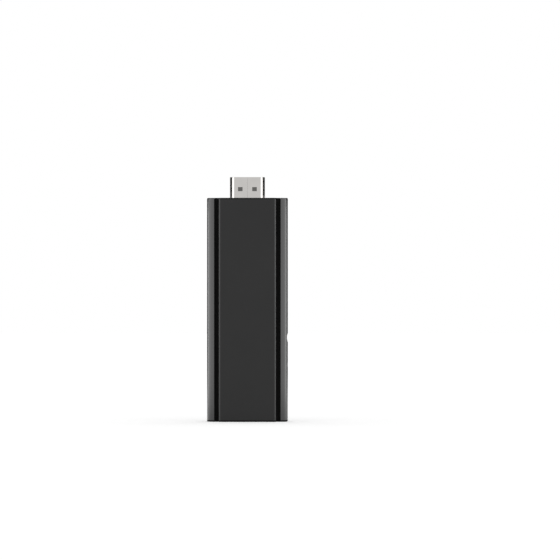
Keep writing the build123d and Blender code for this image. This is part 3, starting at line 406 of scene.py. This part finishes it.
# each node's finish and material slot
finishOf = {
    "rear_shell": ("shellPlastic", "housing_black"),
    "front_cover": ("panelPlastic", "housing_black"),
    "tail_end_cap": ("capPlastic", "end_cap_black"),
    "plug_end_cap": ("capPlastic", "end_cap_black"),
    "plug_shell": ("plugSteel", "plug_steel"),
    "plug_insulator": ("connectorPlastic", "connector_black"),
    "plug_contacts_front": ("contactGold", "contact_gold"),
    "plug_contacts_back": ("contactGold", "contact_gold"),
    "main_board": ("boardGreen", "board_green"),
    "board_screws": ("screwSteel", "screw_steel"),
    "processor": ("processorEpoxy", "chip_black"),
    "memory_packages": ("memoryEpoxy", "chip_black"),
    "shield_frame": ("shieldTin", "shield_tin"),
    "shield_lid": ("shieldTin", "shield_tin"),
    "flash_package": ("flashEpoxy", "chip_black"),
    "power_controller": ("controllerEpoxy", "chip_black"),
    "radio_board": ("moduleGreen", "board_green"),
    "radio_can": ("shieldTin", "shield_tin"),
    "antenna": ("shieldTin", "shield_tin"),
    "power_inductors": ("ferriteGrey", "ferrite_grey"),
    "bulk_capacitors": ("capacitorOchre", "capacitor_ochre"),
    "crystals": ("shieldTin", "shield_tin"),
    "chip_capacitors": ("capacitorOchre", "capacitor_ochre"),
    "surge_arrays": ("chipEpoxy", "chip_black"),
    "filter_chokes": ("chokeBrown", "ferrite_grey"),
    "inlet_shell": ("plugSteel", "plug_steel"),
    "inlet_tongue": ("connectorPlastic", "connector_black"),
    "inlet_contacts": ("contactGold", "contact_gold"),
    "switch_housing": ("chipEpoxy", "connector_black"),
    "switch_cover": ("plugSteel", "shield_tin"),
    "switch_snap_leaf": ("plugSteel", "shield_tin"),
    "switch_plunger": ("plungerNylon", "plunger_white"),
    "side_button": ("buttonPlastic", "button_black"),
    "status_led": ("ledCream", "led_cream"),
    "light_pipe": ("lightPipeClear", "light_pipe_clear"),
    "front_heat_plate": ("plateAluminium", "heat_plate_aluminium"),
    "front_thermal_pad": ("thermalPadBlue", "thermal_pad_blue"),
    "rear_heat_plate": ("plateAluminium", "heat_plate_aluminium"),
    "rear_thermal_pad": ("thermalPadBlue", "thermal_pad_blue"),
}
for name, node in nodes.items():
    finish, slotName = finishOf[name]
    node.data.materials.clear()
    node.data.materials.append(finishes[finish])
print("materials set")


# pieces: merged copies of the CAD parts with softened edges
weld = {"doubles": 0.001, "flat": 0.5}  # millimetres between doubles, degrees between flat faces
margin = 0.02  # millimetres past a limit, for the faces that lie on it


def pickNone():
    bpy.ops.object.select_all(action="DESELECT")


def makeActive(piece):
    pickNone()
    piece.select_set(True)
    bpy.context.view_layer.objects.active = piece


def applyModifiers(piece):
    makeActive(piece)
    for modifier in list(piece.modifiers):
        bpy.ops.object.modifier_apply(modifier=modifier.name)


def dressedCopy(nodeName, look):
    node = nodes[nodeName]
    piece = bpy.data.objects.new(look["name"], node.data.copy())
    bpy.context.scene.collection.objects.link(piece)
    makeActive(piece)
    bpy.ops.mesh.customdata_custom_splitnormals_clear()
    bpy.ops.object.mode_set(mode="EDIT")
    bpy.ops.mesh.select_all(action="SELECT")
    bpy.ops.mesh.remove_doubles(threshold=weld["doubles"] * mm)
    bpy.ops.mesh.dissolve_limited(angle_limit=radians(weld["flat"]))
    for axis, places in look.get("cuts", ()):
        facing = [float(number == axis) for number in range(3)]
        for place in places:
            bpy.ops.mesh.select_all(action="SELECT")
            bpy.ops.mesh.bisect(plane_co=[part * place * mm for part in facing], plane_no=facing)
    bpy.ops.object.mode_set(mode="OBJECT")
    soften = piece.modifiers.new("soften", "BEVEL")
    soften.width = look["edge"] * mm
    soften.segments = look["steps"]
    soften.limit_method = "ANGLE"
    soften.angle_limit = radians(look["sharp"])
    soften.harden_normals = False
    applyModifiers(piece)
    bpy.ops.object.shade_smooth_by_angle(angle=radians(look["sharp"]))
    even = piece.modifiers.new("even", "WEIGHTED_NORMAL")
    even.keep_sharp = True
    applyModifiers(piece)
    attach(piece, node["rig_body"])
    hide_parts(nodeName)
    return piece


def paint(piece, finishName, covers):
    # gives a second finish to the faces that a test of place and normal covers
    piece.data.materials.append(finishes[finishName])
    number = len(piece.data.materials) - 1
    for face in piece.data.polygons:
        if covers(face.center / mm, face.normal):
            face.material_index = number


# the housing's ends, darkened with painted shade: heights where the foot stops and the crown starts
housingEnds = {"footTop": 0.6, "crownBottom": 88.35}
endCuts = ((2, (housingEnds["footTop"], housingEnds["crownBottom"])),)

rearShellLook = {
    "name": "rearShellBody",
    "edge": 0.05,
    "steps": 2,
    "sharp": 32,
    "grooveHalf": 13.2,  # the rails' inner sides lie nearer the middle than this
    "grooveBack": -2.2,
    "cuts": endCuts,
}
rearShell = dressedCopy("rear_shell", rearShellLook)
# painted shade: the rear shell's faces in the grooves get the darker groove plastic
paint(
    rearShell,
    "grooveShadePlastic",
    lambda at, normal: abs(at.x) < rearShellLook["grooveHalf"]
    and at.y < rearShellLook["grooveBack"]
    and abs(normal.x) > 0.6,
)
# painted shade: the rear shell's bottom edge gets the darker foot plastic
paint(rearShell, "footShadePlastic", lambda at, normal: at.z < housingEnds["footTop"])

frontCoverLook = {
    "name": "frontCoverPanel",
    "edge": 0.05,
    "steps": 2,
    "sharp": 32,
    "panelHalf": 11.35,
    "roundingEnd": -5.38,
    "cuts": endCuts,
}
frontCover = dressedCopy("front_cover", frontCoverLook)
paint(
    frontCover,
    "edgePlastic",
    lambda at, normal: abs(normal.x) > 0.1 and at.y < frontCoverLook["roundingEnd"],
)
# painted shade: the cover's faces in the grooves get the darker groove plastic
paint(
    frontCover,
    "grooveShadePlastic",
    lambda at, normal: abs(at.x) > frontCoverLook["panelHalf"] - margin
    and at.y > frontCoverLook["roundingEnd"],
)
# painted shade: the cover's bottom edge gets the darker foot plastic
paint(frontCover, "footShadePlastic", lambda at, normal: at.z < housingEnds["footTop"])
# painted shade: the panel's top edge gets the darker crown plastic
paint(
    frontCover,
    "crownShadePlastic",
    lambda at, normal: at.z > housingEnds["crownBottom"] and abs(at.x) < frontCoverLook["panelHalf"],
)

endLooks = {
    "tail_end_cap": {"name": "tailEndCapPlate", "edge": 0.08, "steps": 2, "sharp": 32},
    "plug_end_cap": {"name": "plugEndCapPlate", "edge": 0.08, "steps": 2, "sharp": 32},
    "plug_shell": {"name": "plugShellFolded", "edge": 0.04, "steps": 2, "sharp": 40},
    "plug_insulator": {"name": "plugInsulatorBody", "edge": 0.05, "steps": 2, "sharp": 32},
    "plug_contacts_front": {"name": "plugContactsFrontRow", "edge": 0.02, "steps": 2, "sharp": 40},
    "plug_contacts_back": {"name": "plugContactsBackRow", "edge": 0.02, "steps": 2, "sharp": 40},
    "inlet_contacts": {"name": "inletContactsRow", "edge": 0.02, "steps": 2, "sharp": 40},
    "inlet_shell": {"name": "inletShellFolded", "edge": 0.03, "steps": 2, "sharp": 40},
    "inlet_tongue": {"name": "inletTongueBody", "edge": 0.04, "steps": 2, "sharp": 32},
}
for nodeName, look in endLooks.items():
    dressedCopy(nodeName, look)


def pickFaces(piece, wanted):
    # selects the faces that a test of place and normal wants, and leaves edit mode on
    makeActive(piece)
    bpy.ops.object.mode_set(mode="EDIT")
    bpy.ops.mesh.select_all(action="DESELECT")
    bpy.ops.object.mode_set(mode="OBJECT")
    for face in piece.data.polygons:
        face.select = wanted(face.center / mm, face.normal)
    bpy.ops.object.mode_set(mode="EDIT")


def domed(piece, shape):
    # rings stepped in from the rim of the +X face, each moved along X by its part of the rise
    pickFaces(piece, lambda at, normal: normal.x > 0.99 and at.x > shape["from"])
    step = shape["radius"] / shape["rings"]
    for ring in range(1, shape["rings"]):
        bpy.ops.mesh.inset(thickness=step * mm, use_boundary=True)
        before = 1 - (1 - (ring - 1) / shape["rings"]) ** 2
        after = 1 - (1 - ring / shape["rings"]) ** 2
        rise = shape["rise"] * (after - before)
        bpy.ops.transform.translate(value=(rise * mm, 0, 0))
    bpy.ops.object.mode_set(mode="OBJECT")
    bpy.ops.object.shade_smooth_by_angle(angle=radians(shape["sharp"]))


# the button is dished for a fingertip and the light pipe domed
roundLooks = {
    "side_button": {
        "name": "sideButtonCap", "edge": 0.06, "steps": 3, "sharp": 32,
        "from": 15.5, "radius": 1.55, "rings": 7, "rise": -0.12,
    },
    "light_pipe": {
        "name": "lightPipeWindow", "edge": 0.06, "steps": 3, "sharp": 32,
        "from": 15.5, "radius": 0.75, "rings": 6, "rise": 0.08,
    },
}
for nodeName, look in roundLooks.items():
    domed(dressedCopy(nodeName, look), look)
print("outside pieces dressed")


# inside pieces: the board and what it carries
def terminals(nodeName, look):
    # cuts and paints the metal ends of a row of small parts, the row and its ends along one axis
    low, high = boxOf(nodeName)
    axis = look["axis"]
    middles = [low[axis] + look["length"] / 2 + number * look["pitch"] for number in range(look["count"])]
    half = look["length"] / 2 - look["metal"]
    places = [middle + side * half for middle in middles for side in (-1, 1)]
    band = [high[axis] - distance for distance in look.get("band", ())]
    piece = dressedCopy(nodeName, {**look, "cuts": ((axis, places + band),)})
    paint(
        piece,
        look["finish"],
        lambda at, normal: min(abs(at[axis] - middle) for middle in middles) > half,
    )
    if band:
        paint(piece, "polarityBrown", lambda at, normal: band[1] < at[axis] < band[0])
    return piece


# the axis that the row runs along, a part's length on it, their pitch and count, the metal end's length,
# and where a stripe for the positive end lies, from the top
terminalLooks = {
    "chip_capacitors": {
        "name": "chipCapacitorRows", "edge": 0.05, "steps": 2, "sharp": 32,
        "axis": 2, "length": 1.0, "pitch": 2.0, "count": 6, "metal": 0.25, "finish": "padTin",
    },
    "surge_arrays": {
        "name": "surgeArrayRow", "edge": 0.04, "steps": 2, "sharp": 32,
        "axis": 2, "length": 1.0, "pitch": 1.0, "count": 1, "metal": 0.2, "finish": "padTin",
    },
    "filter_chokes": {
        "name": "filterChokeRow", "edge": 0.05, "steps": 2, "sharp": 32,
        "axis": 2, "length": 1.0, "pitch": 1.0, "count": 1, "metal": 0.22, "finish": "padTin",
    },
    "power_inductors": {
        "name": "powerInductorRow", "edge": 0.12, "steps": 3, "sharp": 32,
        "axis": 0, "length": 4.0, "pitch": 5.6, "count": 3, "metal": 0.35, "finish": "padTin",
    },
    "bulk_capacitors": {
        "name": "bulkCapacitorPair", "edge": 0.08, "steps": 2, "sharp": 32,
        "axis": 2, "length": 3.5, "pitch": 3.5, "count": 1, "metal": 0.12, "finish": "padTin",
        "band": (0.4, 1.0),
    },
}
for nodeName, look in terminalLooks.items():
    terminals(nodeName, look)

crystalLook = {"name": "crystalPair", "edge": 0.05, "steps": 2, "sharp": 32, "base": 0.45}
crystalFace = boxOf("crystals")[1].y
crystals = dressedCopy("crystals", crystalLook)
paint(crystals, "ceramicWhite", lambda at, normal: at.y > crystalFace - crystalLook["base"] + margin)

processorLook = {"name": "processorPackage", "edge": 0.04, "steps": 2, "sharp": 32, "substrate": 0.35}
processorFace = boxOf("processor")[1].y
processor = dressedCopy("processor", processorLook)
paint(processor, "moduleGreen", lambda at, normal: at.y > processorFace - processorLook["substrate"] - margin)

ledLook = {
    "name": "statusLedBody", "edge": 0.03, "steps": 2, "sharp": 32,
    "axis": 2, "length": 1.6, "pitch": 1.6, "count": 1, "metal": 0.25, "finish": "contactGold",
}
statusLed = terminals("status_led", ledLook)
paint(statusLed, "phosphorYellow", lambda at, normal: normal.x > 0.99)

# the cut sides of the boards show their glass cloth
boardLooks = {
    "main_board": {"name": "mainBoardLaminate", "edge": 0.05, "steps": 1, "sharp": 32},
    "radio_board": {"name": "radioBoardLaminate", "edge": 0.04, "steps": 1, "sharp": 32},
}
for nodeName, look in boardLooks.items():
    paint(dressedCopy(nodeName, look), "glassEdge", lambda at, normal: abs(normal.y) < 0.5)

# radii of head and shank, and where the thread starts behind the head
screwLook = {
    "name": "boardScrewPair", "edge": 0.08, "steps": 2, "sharp": 32,
    "head": 1.5, "shank": 0.8, "threadFrom": -0.5,
}
screwLow, screwHigh = boxOf("board_screws")
head = Vector((screwLook["head"], 0, screwLook["head"]))
screwAxes = [screwLow + head, screwHigh - head]
boardScrews = dressedCopy("board_screws", screwLook)
paint(
    boardScrews,
    "threadSteel",
    lambda at, normal: at.y > screwLook["threadFrom"]
    and min((at.x - axis.x) ** 2 + (at.z - axis.z) ** 2 for axis in screwAxes) < screwLook["shank"] ** 2
    and abs(normal.y) < 0.9,
)

plainLooks = {
    "memory_packages": {"name": "memoryPackagePair", "edge": 0.04, "steps": 2, "sharp": 32},
    "flash_package": {"name": "flashPackageBody", "edge": 0.04, "steps": 2, "sharp": 32},
    "power_controller": {"name": "powerControllerBody", "edge": 0.04, "steps": 2, "sharp": 32},
    "shield_frame": {"name": "shieldFrameFence", "edge": 0.04, "steps": 2, "sharp": 32},
    "shield_lid": {"name": "shieldLidCover", "edge": 0.06, "steps": 2, "sharp": 32},
    "radio_can": {"name": "radioCanCover", "edge": 0.06, "steps": 2, "sharp": 32},
    "antenna": {"name": "antennaStamping", "edge": 0.04, "steps": 2, "sharp": 32},
    "switch_housing": {"name": "switchHousingBody", "edge": 0.05, "steps": 2, "sharp": 32},
    "switch_cover": {"name": "switchCoverSheet", "edge": 0.03, "steps": 2, "sharp": 32},
    "switch_plunger": {"name": "switchPlungerSlide", "edge": 0.05, "steps": 2, "sharp": 32},
    "front_heat_plate": {"name": "frontHeatPlatePan", "edge": 0.1, "steps": 2, "sharp": 25},
    "rear_heat_plate": {"name": "rearHeatPlatePan", "edge": 0.1, "steps": 2, "sharp": 25},
    "front_thermal_pad": {"name": "frontThermalPadSheet", "edge": 0.05, "steps": 2, "sharp": 32},
    "rear_thermal_pad": {"name": "rearThermalPadSheet", "edge": 0.05, "steps": 2, "sharp": 32},
}
for nodeName, look in plainLooks.items():
    dressedCopy(nodeName, look)

# the leaf spring under the plunger gets its own mesh; pressed is the share of its rise by which it gives way
# as the button goes in
leafLook = {"name": "switchSnapLeafStrip", "edge": 0.02, "steps": 1, "sharp": 40, "pressed": 0.32}
snapLeaf = dressedCopy("switch_snap_leaf", leafLook)
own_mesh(snapLeaf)
print("inside pieces dressed")


# soldered joints: mounds on a board's face; a row has a mound's size across X, off the face and along Z,
# the face's place on Y, the X and Z of its first mound and the step to the next
solderRows = {
    "plugFrontJoints": {
        "size": (0.66, 0.12, 1.9), "face": -0.5,
        "first": (-4.0, 81.05), "step": (1.0, 0.0), "count": 9,
    },
    "plugBackJoints": {
        "size": (0.66, 0.12, 1.9), "face": 0.5,
        "first": (-4.5, 81.05), "step": (1.0, 0.0), "count": 10,
    },
    "plugLegFrontJoints": {
        "size": (0.9, 0.2, 2.7), "face": -0.5,
        "first": (-6.8, 80.65), "step": (13.6, 0.0), "count": 2,
    },
    "plugLegBackJoints": {
        "size": (0.9, 0.2, 2.7), "face": 0.5,
        "first": (-6.8, 80.65), "step": (13.6, 0.0), "count": 2,
    },
    "inletFootJoints": {
        "size": (0.46, 0.09, 0.95), "face": 0.5,
        "first": (-1.3, 6.86), "step": (0.65, 0.0), "count": 5,
    },
    "antennaLegJoints": {
        "size": (2.6, 0.3, 0.7), "face": 0.5,
        "first": (8.0, 4.2), "step": (0.0, 10.8), "count": 2,
    },
    "radioLeftJoints": {
        "size": (0.5, 0.45, 0.62), "face": 0.5,
        "first": (-6.2, 16.55), "step": (0.0, 1.1), "count": 10,
    },
    "radioRightJoints": {
        "size": (0.5, 0.45, 0.62), "face": 0.5,
        "first": (6.2, 16.55), "step": (0.0, 1.1), "count": 10,
    },
    "inductorLeftJoints": {
        "size": (0.5, 0.5, 2.6), "face": -0.5,
        "first": (-7.7, 24.0), "step": (5.6, 0.0), "count": 3,
    },
    "inductorRightJoints": {
        "size": (0.5, 0.5, 2.6), "face": -0.5,
        "first": (-3.5, 24.0), "step": (5.6, 0.0), "count": 3,
    },
}
mound = {"taper": (0.55, 1.0, 0.8), "rounding": 0.04, "steps": 3, "sharp": 60}


def soldered(pieceName, row):
    # one mound is modelled, then copied along its row and joined
    side = 1 if row["face"] > 0 else -1
    wide, tall, long = row["size"]
    firstX, firstZ = row["first"]
    stepX, stepZ = row["step"]
    pickNone()
    bpy.ops.mesh.primitive_cube_add(
        size=1,
        location=(firstX * mm, (row["face"] + side * tall / 2) * mm, firstZ * mm),
        scale=(wide * mm, tall * mm, long * mm),
    )
    model = bpy.context.object
    bpy.ops.object.transform_apply(location=True, rotation=True, scale=True)
    pickFaces(model, lambda at, normal: normal.y * side > 0.9)
    bpy.ops.transform.resize(value=mound["taper"])
    bpy.ops.mesh.bevel(
        offset=mound["rounding"] * mm, segments=mound["steps"], affect="EDGES", offset_type="OFFSET"
    )
    bpy.ops.object.mode_set(mode="OBJECT")
    mounds = [model]
    for number in range(1, row["count"]):
        copy = model.copy()
        copy.data = model.data.copy()
        bpy.context.scene.collection.objects.link(copy)
        copy.location = (number * stepX * mm, 0, number * stepZ * mm)
        mounds.append(copy)
    pickNone()
    for copy in mounds:
        copy.select_set(True)
    bpy.context.view_layer.objects.active = model
    bpy.ops.object.join()
    piece = bpy.context.object
    bpy.ops.object.transform_apply(location=True, rotation=True, scale=True)
    bpy.ops.object.shade_smooth_by_angle(angle=radians(mound["sharp"]))
    piece.name = pieceName
    piece.data.materials.append(finishes["solderTin"])
    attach(piece, "housing")


for pieceName, row in solderRows.items():
    soldered(pieceName, row)
print("soldered joints made")


# stage, light and camera, in metres but for the lens, the film and floorBelow, in millimetres
studio = {
    "cameraDistance": 1.853,
    "frontFace": -0.0062,
    "lens": 300,
    "film": 36,
    "nearest": 0.05,
    "pictureMiddle": (0.01297, 0.05635),
    "lampHeight": 0.05,
    "worldForSurfaces": 0.9,
    "floorSize": 6,
    "floorColour": (0.9, 0.9, 0.9),
    "floorGlow": 0.22,
    "floorBelow": 0.02,
    "cardColour": (0.002, 0.002, 0.002),
}
white = (1, 1, 1, 1)
# each lamp: bearing from the front in degrees, distance, width and height in metres, and strength
softBoxes = {
    "leftBox": {"bearing": -86, "distance": 0.2, "width": 0.25, "height": 0.4, "strength": 1.42},
    "rightBox": {"bearing": 86, "distance": 0.2, "width": 0.25, "height": 0.4, "strength": 1.38},
    "leftStrip": {"bearing": -125, "distance": 0.22, "width": 0.04, "height": 0.4, "strength": 2.2},
    "rightStrip": {"bearing": 112, "distance": 0.22, "width": 0.04, "height": 0.4, "strength": 1.35},
}
# cards that only reflections see, black but for the pale one behind, aimed at a point in millimetres
flags = {
    "leftFlag": {"bearing": -157, "distance": 0.6, "size": (0.51, 0.9), "aim": (0, 0, 50)},
    "rightFlag": {"bearing": 157, "distance": 0.6, "size": (0.51, 0.9), "aim": (0, 0, 50)},
    "leftPlugFlag": {"bearing": -140, "distance": 0.13, "size": (0.155, 0.0135), "aim": (-6.5, 0, 96.8)},
    "rightPlugFlag": {"bearing": 140, "distance": 0.13, "size": (0.155, 0.0135), "aim": (6.5, 0, 96.8)},
    "rearCard": {"bearing": 180, "distance": 0.5, "size": (0.24, 0.9), "aim": (0, 0, 50), "glow": 0.7},
}


def lookAt(thing, target):
    direction = Vector(target) - thing.location
    thing.rotation_euler = direction.to_track_quat("-Z", "Y").to_euler()


cameraData = bpy.data.cameras.new("camera")
camera = bpy.data.objects.new("camera", cameraData)
bpy.context.scene.collection.objects.link(camera)
middleX, middleZ = studio["pictureMiddle"]
camera.location = (middleX, studio["frontFace"] - studio["cameraDistance"], middleZ)
camera.rotation_euler = (radians(90), 0, 0)
cameraData.lens = studio["lens"]
cameraData.sensor_width = studio["film"]
cameraData.clip_start = studio["nearest"]
bpy.context.scene.camera = camera


def bearingPoint(bearing, distance, height):
    return Vector((distance * sin(radians(bearing)), -distance * cos(radians(bearing)), height))


for name, box in softBoxes.items():
    lampData = bpy.data.lights.new(name, "AREA")
    lampData.shape = "RECTANGLE"
    lampData.size = box["width"]
    lampData.size_y = box["height"]
    lampData.energy = box["strength"] * pi * box["width"] * box["height"]
    lamp = bpy.data.objects.new(name, lampData)
    bpy.context.scene.collection.objects.link(lamp)
    lamp.location = bearingPoint(box["bearing"], box["distance"], studio["lampHeight"])
    lookAt(lamp, (0, 0, studio["lampHeight"]))
    lamp.visible_diffuse = False

for name, flag in flags.items():
    cardPaint, tree, shader = startMaterial(f"{name}Paint", studio["cardColour"], 1.0, 0.0)
    shader.inputs["Emission Color"].default_value = white
    shader.inputs["Emission Strength"].default_value = flag.get("glow", 0)
    pickNone()
    bpy.ops.mesh.primitive_plane_add(size=1, location=(0, 0, 0))
    card = bpy.context.object
    card.name = name
    aim = Vector(flag["aim"]) * mm
    card.scale = (*flag["size"], 1)
    card.location = bearingPoint(flag["bearing"], flag["distance"], aim.z)
    lookAt(card, aim)
    card.data.materials.append(cardPaint)
    card.visible_camera = False
    card.visible_diffuse = False
    card.visible_transmission = False
    card.visible_shadow = False


def seenRays(tree):
    # 1 for the rays that show the background: straight, mirrored or through something clear
    rays = tree.nodes.new("ShaderNodeLightPath")
    seen = rays.outputs["Is Camera Ray"]
    for kind in ("Is Glossy Ray", "Is Transmission Ray"):
        seen = merged(tree, "MAXIMUM", seen, rays.outputs[kind])
    return seen


world = bpy.data.worlds.new("studioWorld")
bpy.context.scene.world = world
world.use_nodes = True
tree = world.node_tree
background = tree.nodes["Background"]
strength = spread(tree, seenRays(tree), studio["worldForSurfaces"], 1.0, 0.0, 1.0)
tree.links.new(strength, background.inputs["Strength"])
background.inputs["Color"].default_value = white

pickNone()
bpy.ops.mesh.primitive_plane_add(size=studio["floorSize"], location=(0, 0, -studio["floorBelow"] * mm))
floor = bpy.context.object
floor.name = "floor"
floorMaterial = bpy.data.materials.new("floorWhite")
floorMaterial.use_nodes = True
tree = floorMaterial.node_tree
tree.nodes.remove(tree.nodes["Principled BSDF"])
matte = tree.nodes.new("ShaderNodeBsdfDiffuse")
matte.inputs["Color"].default_value = (*studio["floorColour"], 1)
glow = tree.nodes.new("ShaderNodeEmission")
glow.inputs["Color"].default_value = white
strength = spread(tree, seenRays(tree), 0.0, studio["floorGlow"], 0.0, 1.0)
tree.links.new(strength, glow.inputs["Strength"])
mixed = tree.nodes.new("ShaderNodeAddShader")
tree.links.new(matte.outputs[0], mixed.inputs[0])
tree.links.new(glow.outputs[0], mixed.inputs[1])
tree.links.new(mixed.outputs[0], tree.nodes["Material Output"].inputs["Surface"])
floor.data.materials.append(floorMaterial)

bpy.context.scene.view_settings.view_transform = "Standard"
print("stage, light and camera set")
